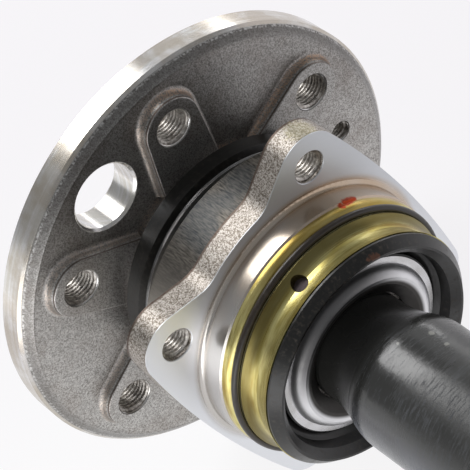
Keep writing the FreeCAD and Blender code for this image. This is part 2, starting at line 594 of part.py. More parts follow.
# Hub: one forging with the wheel flange, six pads and the stub whose end is rolled over the bearing
def make_hub_flange():
    body = new_body("hub_flange")
    revolve(body, "turning", [
        ("-pilot_height", "recess_radius"),
        ("-pilot_height", "pilot_radius - pilot_chamfer"),
        ("-pilot_height + pilot_chamfer", "pilot_radius"),
        ("relief_depth", "pilot_radius"),
        ("relief_depth", "relief_radius"),
        ("0", "relief_radius"),
        ("0", "flange_radius - rim_chamfer"),
        ("rim_chamfer", "flange_radius"),
        ("rim_thickness - rim_chamfer", "flange_radius"),
        ("rim_thickness", "flange_radius - rim_chamfer"),
        ("web_face", "web_edge"),
        ("web_face", "fillet_end", ("radius", "hub_fillet", 1)),
        ("web_face + hub_fillet", "neck_radius"),
        ("neck_end", "neck_radius"),
        ("neck_end", "stub_radius"),
        ("ring_end - ring_nose", "stub_radius", ("radius", "ring_nose", 1)),
        ("ring_end", "stub_radius + ring_nose"),
        ("ring_end", "collar_radius", ("turn", "collar_roll", -1)),
        ("collar_end", "collar_crown_radius"),
        ("collar_end - rim_chamfer", "collar_mouth_radius"),
        ("collar_end - mouth_depth", "counterbore_radius"),
        ("spline_end", "counterbore_radius"),
        ("spline_end", "spline_root_radius + spline_play"),
        ("spline_start", "spline_root_radius + spline_play"),
        ("spline_start", "bore_relief_radius"),
        ("hub_wall_back", "bore_relief_radius"),
        ("hub_wall_back", "bolt_radius + shaft_play"),
        ("recess_floor", "bolt_radius + shaft_play"),
        ("recess_floor", "recess_radius"),
    ])
    sketch = new_sketch(body, "pad_outline", "YZ_Plane", "rim_thickness")
    draw_outline(sketch, [
        ("pad_root_radius", "-pad_root_half_width"),
        ("bolt_circle_radius", "-pad_half_width", ("radius", "pad_half_width", 1)),
        ("bolt_circle_radius + pad_half_width", "0", ("radius", "pad_half_width", 1)),
        ("bolt_circle_radius", "pad_half_width"),
        ("pad_root_radius", "pad_root_half_width"),
    ])
    raised = pad(body, "pad", sketch, "web_rise + pad_rise")
    raised.setExpression("TaperAngle", bound("-pad_draft"))
    repeat(body, "pads", raised, "bolt_count")

    def at_pad_foot(edge):
        reach = max(math.hypot(vertex.Y, vertex.Z) for vertex in edge.Vertexes)
        return lies_at(edge, "web_face") and size("fillet_end") + near < reach < size("web_edge") - near

    soften(body, "pad_feet", "Fillet", at_pad_foot, "Radius", "pad_foot_fillet")
    soften(body, "pad_edges", "Fillet", lambda edge: lies_at(edge, "pad_face"), "Radius", "pad_top_round")
    through = "pad_face + 2 * %s" % overshoot
    below = "-%s" % overshoot
    bolt_sketch = new_sketch(body, "bolt_hole_outline", "YZ_Plane", below)
    draw_circle(bolt_sketch, "bolt_circle_radius", "0", "bolt_hole_radius")
    repeat(body, "bolt_holes", pocket(body, "bolt_hole", bolt_sketch, through), "bolt_count")
    screw_sketch = new_sketch(body, "screw_outline", "YZ_Plane", below)
    draw_circle(screw_sketch, "bolt_circle_radius * cos(180 / bolt_count)",
                "-bolt_circle_radius * sin(180 / bolt_count)", "screw_hole_radius")
    pocket(body, "screw_hole", screw_sketch, through)
    soften(body, "bolt_mouths", "Chamfer", mouth_of("bolt_hole_radius"), "Size", "hole_chamfer")
    soften(body, "screw_mouths", "Chamfer", mouth_of("screw_hole_radius"), "Size", "hole_chamfer")
    # the access hole with its bevelled mouths, turned about its own axis
    access_sketch = new_sketch(body, "access_section", "XZ_Plane")
    draw_outline(access_sketch, [
        (below, "access_circle_radius"),
        ("web_face + %s" % overshoot, "access_circle_radius"),
        ("web_face + %s" % overshoot, "access_edge_radius + %s" % overshoot),
        ("web_face - access_chamfer", "access_circle_radius + access_hole_radius"),
        ("access_chamfer", "access_circle_radius + access_hole_radius"),
        (below, "access_edge_radius + %s" % overshoot),
    ])
    groove(body, "access_hole", access_sketch, "Edge1")
    cut_teeth(body, "hub_teeth", "spline_start", "spline_end", "(spline_root_radius + spline_play)",
              "(spline_tip_radius + spline_play)", "tooth_middle", True, "flank_play")
    clock(body, "hub_clock_angle")


# Housing: forged barrel, four-eared flange, polished spigot, two outer races and the seal bores
def make_outer_ring():
    body = new_body("outer_ring")
    revolve(body, "turning", [
        ("housing_start", "wheel_seal_bore_radius"),
        ("housing_start", "housing_nose_radius"),
        ("housing_start + nose_slope", "housing_radius"),
        ("ear_face", "housing_radius"),
        ("ear_face", "spigot_radius + spigot_root", ("radius", "spigot_root", 1)),
        ("ear_face + spigot_root", "spigot_radius"),
        ("spigot_end - spigot_chamfer", "spigot_radius"),
        ("spigot_end", "spigot_radius - spigot_chamfer"),
        ("spigot_end", "carrier_seat_radius"),
        ("spigot_end - carrier_seat_depth", "carrier_seat_radius"),
        ("spigot_end - carrier_seat_depth", "inner_seal_bore_radius"),
        ("inner_seal_start", "inner_seal_bore_radius"),
        ("inner_seal_start", "cup_large_radius"),
        ("race_end", "cup_large_radius"),
        (row_place(1, "-cup_reach"), "cup_small_radius"),
        (row_place(-1, "-cup_reach"), "cup_small_radius"),
        ("race_start", "cup_large_radius"),
        ("race_start", "wheel_seal_bore_radius"),
    ])

    # the flange's outline, each quarter made of a side curve, an ear, a straight flank and the waist
    def placed(point, y_sign, z_sign, *arc):
        return (y_sign + point + "_y", z_sign + point + "_z") + arc

    ear_arc = ("radius", "ear_radius", 1)
    waist_arc = ("radius", "ear_waist_radius", 1)
    side_arc = ("radius", "side_curve", 1)
    sketch = new_sketch(body, "flange_outline", "YZ_Plane", "ear_back")
    draw_outline(sketch, [
        placed("side_meets_ear", "", "", ear_arc),
        placed("ear_meets_flank", "", ""),
        placed("flank_meets_waist", "", "", waist_arc),
        placed("flank_meets_waist", "-", ""),
        placed("ear_meets_flank", "-", "", ear_arc),
        placed("side_meets_ear", "-", "", side_arc),
        placed("side_meets_ear", "-", "-", ear_arc),
        placed("ear_meets_flank", "-", "-"),
        placed("flank_meets_waist", "-", "-", waist_arc),
        placed("flank_meets_waist", "", "-"),
        placed("ear_meets_flank", "", "-", ear_arc),
        placed("side_meets_ear", "", "-", side_arc),
    ])
    draw_circle(sketch, "0", "0", "(housing_radius + carrier_seat_radius) / 2")
    pad(body, "flange", sketch, "flange_thickness")

    def in_valley(edge):
        box = edge.BoundBox
        runs_along = box.YLength < near and box.ZLength < near
        place = math.hypot(box.YMin, box.ZMin)
        return runs_along and abs(place - size("ear_waist_radius")) < near

    def at_barrel(edge):
        at_back = lies_at(edge, "ear_back") and is_round(edge)
        return at_back and abs(edge.Curve.Radius - size("housing_radius")) < near

    soften(body, "valleys", "Fillet", in_valley, "Radius", "ear_valley_fillet")
    soften(body, "flange_root", "Fillet", at_barrel, "Radius", "ear_fillet")
    holes = new_sketch(body, "ear_hole_outlines", "YZ_Plane", "ear_back - %s" % overshoot)
    for y_sign in ("", "-"):
        for z_sign in ("", "-"):
            draw_circle(holes, y_sign + "ear_hole_y", z_sign + "ear_hole_z", "ear_hole_radius")
    pocket(body, "ear_holes", holes, "flange_thickness + 2 * %s" % overshoot)
    soften(body, "ear_mouths", "Chamfer", mouth_of("ear_hole_radius"), "Size", "hole_chamfer")


# Rolling rows: tapered rollers in a windowed cage, the two rows being mirror images
def roller_point(side, distance, off_axis):
    # a point of the roller's own section, by its distance from the cone's apex and off its axis
    along = "(%s) * cos(roller_lean) - (%s) * sin(roller_lean) - apex_length" % (distance, off_axis)
    radius = "(%s) * sin(roller_lean) + (%s) * cos(roller_lean)" % (distance, off_axis)
    return (row_place(side, along), radius)


def make_rollers(label, side):
    body = new_body(label)
    sketch = new_sketch(body, "roller_section")
    draw_outline(sketch, [
        roller_point(side, "roller_near", "0"),
        roller_point(side, "roller_far", "0"),
        roller_point(side, "roller_far", "roller_far * tan(roller_taper) - roller_play"),
        roller_point(side, "roller_near", "roller_near * tan(roller_taper) - roller_play"),
    ])
    roller = revolve_sketch(body, "roller", sketch, "Edge1")
    repeat(body, "row", roller, "roller_count")


def make_cage(label, side):
    body = new_body(label)
    revolve(body, "band", [
        roller_point(side, "window_near - cage_rim", "-cage_wall / 2"),
        roller_point(side, "window_far + cage_rim", "-cage_wall / 2"),
        roller_point(side, "window_far + cage_rim", "cage_wall / 2"),
        roller_point(side, "window_near - cage_rim", "cage_wall / 2"),
    ])
    near_side = roller_point(side, "window_near", "cage_wall / 2")[0]
    far_side = roller_point(side, "window_far", "-cage_wall / 2")[0]
    sketch = new_sketch(body, "window_outline", "XZ_Plane")
    draw_outline(sketch, [
        (near_side, "-window_half_width"),
        (far_side, "-window_half_width"),
        (far_side, "window_half_width"),
        (near_side, "window_half_width"),
    ])
    window = pocket(body, "window", sketch, "cup_large_radius")
    window.Reversed = False
    repeat(body, "windows", window, "roller_count")


def make_inner_ring(label, side, outer_end, bore_nose):
    # one of the two inner rings: joint face, small rib, race, large rib and land, and the outer end
    corners = [
        ("row_middle", "stub_radius"),
        ("row_middle", "cone_small_radius + small_rib"),
        (row_place(side, "-nose_reach"), "cone_small_radius + small_rib"),
        (row_place(side, "-nose_reach"), "cone_small_radius"),
        (row_place(side, "rib_reach"), "cone_large_radius"),
        (row_place(side, "rib_reach"), "ring_land_radius"),
    ]
    if bore_nose:
        corners += [
            (outer_end + " - ring_chamfer", "ring_land_radius"),
            (outer_end, "ring_land_radius - ring_chamfer"),
            (outer_end, "stub_radius + ring_nose", ("radius", "ring_nose", -1)),
            (outer_end + " - ring_nose", "stub_radius"),
        ]
    else:
        corners += [
            (outer_end + " + ring_chamfer", "ring_land_radius"),
            (outer_end, "ring_land_radius - ring_chamfer"),
            (outer_end, "stub_radius"),
        ]
    return ring(label, corners)


# Wheel side seal: a steel thrower on the hub, a steel case in the housing and its rubber shield
def make_wheel_seal():
    ring("wheel_seal_flinger", [
        ("neck_start", "neck_radius"),
        ("neck_start", "thrower_radius"),
        ("neck_start + thrower_sheet", "thrower_radius"),
        ("neck_start + thrower_sheet", "wheel_sleeve_radius"),
        ("neck_end", "wheel_sleeve_radius"),
        ("neck_end", "neck_radius"),
    ])
    ring("wheel_seal_case", [
        ("wheel_case_face", "wheel_case_radius"),
        ("wheel_case_face", "housing_nose_radius"),
        ("housing_start", "housing_nose_radius"),
        ("housing_start", "wheel_seal_bore_radius"),
        ("housing_start + seal_sleeve_length", "wheel_seal_bore_radius"),
        ("housing_start + seal_sleeve_length", "wheel_seal_bore_radius - seal_sheet"),
        ("housing_start", "wheel_seal_bore_radius - seal_sheet"),
        ("housing_start", "wheel_case_radius"),
    ])
    ring("wheel_seal_lips", [
        ("wheel_case_face", "wheel_case_radius"),
        ("wheel_case_face - 2 * lip_root", "wheel_sleeve_radius + lip_gap"),
        ("wheel_case_face - 2 * lip_root - lip_thickness", "wheel_sleeve_radius + lip_gap + lip_thickness"),
        ("wheel_rubber_face", "wheel_seal_bore_radius - lip_root / 2"),
        ("wheel_rubber_face", "wheel_seal_bore_radius"),
        ("wheel_lip_x", "thrower_radius - 2 * lip_thickness"),
        ("wheel_lip_x", "thrower_radius - lip_thickness"),
        ("wheel_rubber_face", "wheel_seal_bore_radius + lip_root"),
        ("wheel_rubber_face", "shield_inner_radius"),
        ("shield_start", "shield_inner_radius"),
        ("shield_start", "shield_radius - lip_thickness"),
        ("shield_start + lip_thickness", "shield_radius"),
        ("wheel_rubber_face", "shield_radius"),
        ("wheel_case_face", "housing_nose_radius"),
    ])


# Inboard seal: the same idea the other way round, with a magnetised ring for the wheel speed
def make_inboard_seal():
    ring("inboard_seal_case", [
        ("inner_seal_start", "inner_case_radius"),
        ("inner_seal_start", "inner_seal_bore_radius"),
        ("spigot_end - seal_setback", "inner_seal_bore_radius"),
        ("spigot_end - seal_setback", "inner_case_bore"),
        ("inner_case_back", "inner_case_bore"),
        ("inner_case_back", "inner_case_radius"),
    ])
    ring("inboard_seal_lips", [
        ("inner_case_back", "inner_case_radius"),
        ("inner_case_back", "inner_case_bore"),
        ("inner_case_back + lip_root", "inner_case_bore"),
        ("inner_case_back + lip_root", "inner_case_bore - lip_root"),
        ("inner_lip_x", "inner_thrower_radius - lip_thickness"),
        ("inner_lip_x", "inner_thrower_radius - 2 * lip_thickness"),
        ("inner_case_back + 1.5 * lip_root", "inner_case_radius"),
        ("inner_case_back + 2 * lip_root", "inner_sleeve_radius + lip_gap"),
        ("inner_case_back + 1.5 * lip_root", "inner_sleeve_radius + lip_gap"),
        ("inner_case_back + lip_root / 2", "inner_case_radius"),
    ])
    ring("inboard_flinger", [
        ("inner_case_back + lip_root / 2", "ring_land_radius"),
        ("inner_case_back + lip_root / 2", "inner_sleeve_radius"),
        ("thrower_flange", "inner_sleeve_radius"),
        ("thrower_flange", "inner_thrower_radius"),
        ("thrower_back", "inner_thrower_radius"),
        ("thrower_back", "ring_land_radius"),
    ])
    ring("encoder_ring", [
        ("thrower_back", "inner_thrower_radius - encoder_width"),
        ("thrower_back", "inner_thrower_radius"),
        ("thrower_back + encoder_thickness", "inner_thrower_radius"),
        ("thrower_back + encoder_thickness", "inner_thrower_radius - encoder_width"),
    ])


# Zinc-plated carrier pressed into the housing's end, with its O-ring and the axle tube's seal
def make_carrier():
    body = ring("seal_carrier", [
        ("spigot_end - carrier_seat_depth", "carrier_collar_radius"),
        ("spigot_end - carrier_seat_depth", "carrier_seat_radius"),
        ("spigot_end", "carrier_seat_radius"),
        ("spigot_end", "band_radius"),
        ("spigot_end + lip_thickness", "band_radius", ("turn", "band_bend", -1)),
        ("band_end", "band_end_radius"),
        ("band_end", "groove_floor"),
        ("sleeve_start", "groove_floor"),
        ("sleeve_start", "sleeve_lip_radius"),
        ("sleeve_start + lip_thickness", "sleeve_lip_radius", ("turn", "waist_bend", 1)),
        ("sleeve_waist", "sleeve_waist_radius", ("turn", "flare_bend", 1)),
        ("sleeve_end", "sleeve_end_radius"),
        ("sleeve_end", "sleeve_end_radius - carrier_sheet"),
        ("sleeve_end - 2 * carrier_sheet", "sleeve_bore_radius"),
        ("spigot_end + spigot_chamfer", "sleeve_bore_radius"),
        ("spigot_end + spigot_chamfer", "carrier_collar_radius"),
    ])
    vent = new_sketch(body, "vent_outline", "XZ_Plane")
    draw_circle(vent, "sleeve_waist - vent_setback", "0", "vent_radius")
    hole = pocket(body, "vent", vent, "sleeve_lip_radius + %s" % overshoot)
    hole.Reversed = False
    clock(body, "vent_angle")
    cord = new_body("carrier_o_ring")
    section = new_sketch(cord, "cord_section")
    draw_circle(section, "(band_end + sleeve_start) / 2", "cord_circle_radius", "cord_radius")
    revolve_sketch(cord, "cord", section, "H_Axis")


def make_axle_seal():
    ring("axle_seal_case", [
        ("axle_case_start", "axle_case_radius"),
        ("axle_case_start", "sleeve_bore_radius"),
        ("axle_case_end", "sleeve_bore_radius"),
        ("axle_case_end", "axle_case_radius"),
        ("axle_case_end - seal_sheet", "axle_case_radius"),
        ("axle_case_end - seal_sheet", "axle_case_bore"),
        ("axle_case_start + seal_sheet", "axle_case_bore"),
        ("axle_case_start + seal_sheet", "axle_case_radius"),
    ])
    ring("axle_seal_lip", [
        ("axle_case_end", "axle_case_radius"),
        ("axle_case_end", "sleeve_end_radius - lip_gap"),
        ("axle_case_end + lip_thickness", "sleeve_end_radius - lip_gap"),
        ("seal_front", "crown_radius + rim_crown / 2"),
        ("seal_front", "crown_radius - rim_crown / 2"),
        ("seal_front - 2 * lip_root", "rim_inner_radius"),
        ("lip_place + 2 * lip_root", "rim_inner_radius - lip_thickness"),
        ("lip_place", "axle_lip_radius"),
        ("lip_place - lip_root", "axle_lip_radius"),
        ("lip_place - lip_root + lip_thickness / 2", "axle_lip_radius + lip_root"),
        ("axle_case_end - seal_sheet - lip_root", "axle_case_radius - lip_thickness"),
        ("axle_case_end - seal_sheet", "axle_case_radius"),
    ])
    spring = new_body("garter_spring")
    section = new_sketch(spring, "spring_section")
    draw_circle(section, "spring_place", "spring_circle_radius", "spring_radius")
    revolve_sketch(spring, "spring", section, "H_Axis")


# Half shaft: splined stub in the hub, tube, and a splined end for the differential's side gear
def make_shaft():
    stub = ring("stub_shaft", [
        ("hub_wall_back", "stub_bore"),
        ("hub_wall_back", "stub_pilot_radius - pilot_chamfer"),
        ("hub_wall_back + pilot_chamfer", "stub_pilot_radius"),
        ("spline_start - %s" % overshoot, "stub_pilot_radius"),
        ("spline_start - %s" % overshoot, "spline_tip_radius"),
        ("spline_end + ring_chamfer", "spline_tip_radius"),
        ("spline_end + ring_nose", "shaft_neck"),
        ("neck_curve_start", "shaft_neck", ("turn", "swell_bend", 1)),
        ("swell_middle", "swell_middle_radius", ("turn", "shoulder_bend", -1)),
        ("swell_end", "tube_radius"),
        ("weld_start - weld_width / 2", "tube_radius"),
        ("weld_start", "bead_radius"),
        ("weld_start", "tube_bore"),
        ("swell_end + tube_wall", "tube_bore"),
        ("swell_middle", "0"),
        ("bolt_bore_end + tube_wall", "0"),
        ("bolt_bore_end", "stub_bore"),
    ])
    cut_teeth(stub, "stub_teeth", "spline_start - %s" % overshoot, "spline_end + ring_chamfer",
              "spline_root_radius", "spline_tip_radius", "tooth_middle", False, "0")
    clock(stub, "hub_clock_angle + 180 / spline_count")
    ring("shaft_tube", [
        ("weld_start", "tube_bore"),
        ("weld_start", "bead_radius"),
        ("weld_start + weld_width / 2", "tube_radius"),
        ("weld_end - weld_width / 2", "tube_radius"),
        ("weld_end", "bead_radius"),
        ("weld_end", "tube_bore"),
    ])
    far = ring("inboard_stub", [
        ("weld_end", "tube_bore"),
        ("weld_end", "bead_radius"),
        ("weld_end + weld_width / 2", "tube_radius"),
        ("weld_end + tube_wall", "tube_radius", ("turn", "swell_bend", 1)),
        ("journal_start - weld_width", "journal_radius + journal_step"),
        ("journal_start", "journal_radius + journal_step"),
        ("journal_start", "journal_radius"),
        ("journal_end", "journal_radius"),
        ("side_spline_start", "side_tip_radius"),
        ("clip_groove", "side_tip_radius"),
        ("clip_groove", "clip_groove_radius"),
        ("clip_groove_end", "clip_groove_radius"),
        ("clip_groove_end", "side_tip_radius"),
        ("shaft_end - nose_bevel", "side_tip_radius"),
        ("shaft_end", "nose_radius"),
        ("shaft_end", "0"),
        ("weld_end + 2 * tube_wall", "0"),
        ("weld_end + tube_wall", "tube_bore"),
    ])
    cut_teeth(far, "side_teeth", "side_spline_start", "side_spline_end", "side_root_radius",
              "side_tip_radius", "side_tooth_middle", False, "0")
    ring("retaining_ring", [
        ("clip_start", "clip_groove_radius + clip_play"),
        ("clip_start", "clip_radius"),
        ("clip_start + clip_width", "clip_radius"),
        ("clip_start + clip_width", "clip_groove_radius + clip_play"),
    ], turn="clip_turn")


# Axle bolt and washer that hold the hub on the stub shaft
def make_axle_bolt():
    bolt = ring("axle_bolt", [
        ("head_seat", "0"),
        ("head_seat", "head_flange_radius - head_flange_height"),
        ("washer_face", "head_flange_radius"),
        ("washer_face", "bolt_radius"),
        ("bolt_end - bolt_point", "bolt_radius"),
        ("bolt_end", "bolt_radius - bolt_point"),
        ("bolt_end", "0"),
    ])
    head = new_sketch(bolt, "head_outline", "YZ_Plane", "head_seat - head_height")
    draw_outline(head, [
        ("head_corner_radius * cos(%d)" % turn, "head_corner_radius * sin(%d)" % turn)
        for turn in range(0, full_turn, full_turn // head_sides)])
    pad(bolt, "head", head, "head_height")
    ring("axle_washer", [
        ("washer_face", "stub_bore"),
        ("washer_face", "washer_radius"),
        ("recess_floor", "washer_radius"),
        ("recess_floor", "stub_bore"),
    ])


make_hub_flange()
make_outer_ring()
make_rollers("outboard_rollers", -1)
make_rollers("inboard_rollers", 1)
make_cage("outboard_cage", -1)
make_cage("inboard_cage", 1)
make_inner_ring("outboard_inner_ring", -1, "neck_end", False)
make_inner_ring("inboard_inner_ring", 1, "ring_end", True)
make_wheel_seal()
make_inboard_seal()
make_carrier()
make_axle_seal()
make_shaft()
make_axle_bolt()
doc.recompute()

faults = [item.Name for item in doc.Objects if {"Invalid", "Error"} & set(item.State)]
faults += [item.Label for item in sub_parts if item.Shape.isNull() or not item.Shape.isValid()]
if faults:
    raise SystemExit("failed: " + ", ".join(faults))
os.makedirs("parts", exist_ok=True)
for item in sub_parts:
    item.Shape.exportStep("parts/" + item.Label + ".step")
    print("%-22s %3d solids %10.1f mm3" % (item.Label, len(item.Shape.Solids), item.Shape.Volume))
print("%d sub-parts" % len(sub_parts))
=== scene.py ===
import math
import bpy
import bmesh
from mathutils import Matrix, Vector


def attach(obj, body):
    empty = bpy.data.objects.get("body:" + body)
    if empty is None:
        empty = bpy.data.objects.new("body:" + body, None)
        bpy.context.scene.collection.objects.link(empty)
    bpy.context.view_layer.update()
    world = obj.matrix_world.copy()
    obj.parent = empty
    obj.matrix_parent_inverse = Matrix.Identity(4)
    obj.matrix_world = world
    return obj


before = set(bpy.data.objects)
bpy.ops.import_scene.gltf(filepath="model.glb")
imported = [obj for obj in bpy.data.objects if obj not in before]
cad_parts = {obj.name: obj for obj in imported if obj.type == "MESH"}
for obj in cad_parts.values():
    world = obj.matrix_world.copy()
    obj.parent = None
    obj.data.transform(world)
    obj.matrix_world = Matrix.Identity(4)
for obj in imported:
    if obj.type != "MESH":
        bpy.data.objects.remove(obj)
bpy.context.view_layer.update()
print("frame loaded:", len(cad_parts), "nodes")

millimetre = 0.001


def linear(red, green, blue):  # a colour as a screen shows it, 0 to 255, as the shader takes it
    def channel(level):
        level = level / 255
        return level / 12.92 if level <= 0.04045 else ((level + 0.055) / 1.055) ** 2.4
    return (channel(red), channel(green), channel(blue), 1.0)


class Flow:  # one output in a material, so that shader maths reads as plain sums
    def __init__(self, paint, socket):
        self.paint = paint
        self.socket = socket

    def __add__(self, other):
        return self.paint.maths("ADD", self, other)

    def __radd__(self, other):
        return self.paint.maths("ADD", other, self)

    def __sub__(self, other):
        return self.paint.maths("SUBTRACT", self, other)

    def __rsub__(self, other):
        return self.paint.maths("SUBTRACT", other, self)

    def __mul__(self, other):
        return self.paint.maths("MULTIPLY", self, other)

    def __rmul__(self, other):
        return self.paint.maths("MULTIPLY", other, self)

    def __truediv__(self, other):
        return self.paint.maths("DIVIDE", self, other)

    def __pow__(self, other):
        return self.paint.maths("POWER", self, other)


class Paint:  # one material and the nodes behind it
    def __init__(self, name, **surface):
        self.material = bpy.data.materials.new(name)
        self.material.use_nodes = True
        self.tree = self.material.node_tree
        self.shader = self.tree.nodes["Principled BSDF"]
        for socket, value in surface.items():
            self.shader.inputs[socket.replace("_", " ")].default_value = value
        place = self.add("TexCoord", {}, {}, "Object")
        self.place = self.scale(place, 1 / millimetre)  # millimetres in the part's frame
        self.x, self.y, self.z = [self.part(self.place, axis) for axis in "XYZ"]
        self.r = (self.y * self.y + self.z * self.z) ** 0.5

    def add(self, kind, settings, inputs, output=0):
        node = self.tree.nodes.new("ShaderNode" + kind)
        for name, value in settings.items():
            setattr(node, name, value)
        for name, value in inputs.items():
            if isinstance(value, Flow):
                self.tree.links.new(value.socket, node.inputs[name])
            else:
                node.inputs[name].default_value = value
        return Flow(self, node.outputs[output])

    def maths(self, operation, first, second=0.0):
        return self.add("Math", {"operation": operation}, {0: first, 1: second})

    def scale(self, vector, factor):  # of a place or a colour
        return self.add("VectorMath", {"operation": "SCALE"}, {0: vector, "Scale": factor})

    def part(self, vector, axis):
        return self.add("SeparateXYZ", {}, {0: vector}, axis)

    def join(self, x, y, z):
        return self.add("CombineXYZ", {}, {0: x, 1: y, 2: z})

    def blend(self, share, first, second):  # colour mix
        return self.add("Mix", {"data_type": "RGBA"}, {0: share, 6: first, 7: second}, 2)

    def lerp(self, share, first, second):  # number mix
        return self.add("Mix", {"data_type": "FLOAT"}, {0: share, 2: first, 3: second}, 0)

    def most(self, *flows):  # the largest of them
        largest = flows[0]
        for flow in flows[1:]:
            largest = self.maths("MAXIMUM", largest, flow)
        return largest

    def rise(self, value, low, high):  # 0 below low, 1 above high, smooth between
        settings = {"interpolation_type": "SMOOTHSTEP"}
        return self.add("MapRange", settings, {0: value, 1: low, 2: high, 3: 0.0, 4: 1.0})

    def band(self, value, low, high, edge):  # 1 between low and high
        start = self.rise(value, low - edge, low + edge)
        return start * (1 - self.rise(value, high - edge, high + edge))

    def vary(self, flow, least, more):  # a level: its least, and what the flow adds
        return least + flow * more

    def towards(self, y, z):  # how far a place lies to one side of the axis, in millimetres
        return self.y * y + self.z * z

    def noise(self, vector, scale, detail=2.0, roughness=0.5):
        inputs = {"Vector": vector, "Scale": scale, "Detail": detail, "Roughness": roughness}
        return self.add("TexNoise", {"noise_dimensions": "3D"}, inputs, "Fac")

    def cloud(self, *noise):
        return self.noise(self.place, *noise)

    def drawn(self, along, across, *noise):  # noise drawn out over the part
        return self.noise(self.join(self.x * along, self.y * across, self.z * across), *noise)

    def around(self, out, turn):  # noise over the way out and along, and the way round
        place = self.join((self.x + self.r) * out, self.y / self.r * turn, self.z / self.r * turn)
        return self.noise(place, 1.0)

    def turning(self, fine, along):  # marks that run round the axis, as a lathe leaves them
        return self.around(fine, along)

    def streaks(self, fine, along):  # marks that run along the axis or out from it
        return self.around(along, fine)

    def forging(self, share):  # as-forged skin, a fine and a broader grain
        fine, broad = [self.cloud(*noise) for noise in forgingGrain]
        return fine * share + broad * (1 - share)

    def spot(self, axis, angle, radius, size):  # 1 near one place on the part, with a ragged edge
        centre = (axis, *onCircle(radius, angle))
        away = self.add("VectorMath", {"operation": "DISTANCE"}, {0: self.place, 1: centre}, "Value")
        ragged = away + (self.cloud(*marks["ragged"]) - 0.5) * size
        return 1 - self.rise(ragged, size * marks["core"], size)

    def dabs(self, name):
        return self.most(*[self.spot(*place) for place in marks[name]])

    def surface(self):
        return Flow(self, self.shader.outputs[0])

    def finish(self, flow):  # what the material's output shows
        self.tree.links.new(flow.socket, self.tree.nodes["Material Output"].inputs["Surface"])

    def relief(self, height, depth):  # depth in millimetres
        inputs = {"Height": height, "Distance": depth * millimetre}
        self.feed(Normal=self.add("Bump", {}, inputs))

    def feed(self, **flows):
        for socket, flow in flows.items():
            self.tree.links.new(flow.socket, self.shader.inputs[socket.replace("_", " ")])

    def dress(self, *nodes):
        for name in nodes:
            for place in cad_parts[name].material_slots:
                place.material = self.material


def onCircle(radius, angle):  # (y, z) in millimetres
    turn = math.radians(angle)
    return radius * math.cos(turn), radius * math.sin(turn)


def boltAngle(index):  # where a wheel bolt hole stands, in degrees
    return sizes["hubClock"] + 360 / sizes["boltCount"] * index


# Sizes of the part that the bare holes and the threads follow, in millimetres and degrees
sizes = {
    "webFace": 13.0,
    "padFace": 17.4,
    "boltCircle": 65.0,
    "boltCount": 6,
    "boltHole": 7.05,
    "screwHole": 4.05,
    "screwTurn": -30.0,
    "accessCircle": 64.0,
    "accessHole": 12.75,
    "accessTurn": 90.0,
    "hubClock": 10.4,
    "earBack": 56.0,
    "earFace": 66.3,
    "earHoleY": 37.4,
    "earHoleZ": 49.45,
    "earHole": 6.05,
}

# In the dictionaries of looks below:
# a Noise is scale, detail and roughness; one that is drawn out starts with along and across
# an Edge, a Tone and a Side are two values, where something starts and where it is full
# a Band is where something starts, where it ends and how soft its edges are
# a Share says how much of something shows
# a Roughness and a Shares with two values are the least, and what a noise adds

forgingGrain = ((2.2, 3.0, 0.6), (1.1, 2.0, 0.6))

# Dabs of paint and rust, and painted glints on the shaft: axis, angle, radius and size of each
marks = {
    "red": linear(168, 66, 36),
    "rust": linear(112, 70, 48),
    "ragged": (0.8, 3.0),
    "core": 0.6,
    "edge": ((75.6, 39.4, 49.4, 1.8), (75.8, 41.6, 49.4, 2.2),
             (76.2, 43.8, 49.4, 2.1), (76.9, 46.6, 49.3, 1.7)),
    "seal": ((99.8, 56.2, 44.0, 1.6), (99.8, 54.0, 43.6, 1.9),
             (99.8, 51.6, 42.9, 1.5), (99.8, 46.3, 38.9, 1.1)),
    "ring": ((95.6, 89.0, 34.4, 1.1), (95.6, 95.0, 34.6, 0.8), (95.6, 72.0, 34.4, 0.8)),
    "shaftGlints": ((126.0, 49.5, 25.5, 1.3), (133.5, 50.0, 25.5, 1.1), (121.0, 74.0, 25.5, 0.7)),
    "residue": ((62.0, 53.0, 73.0, 7.0),),
}

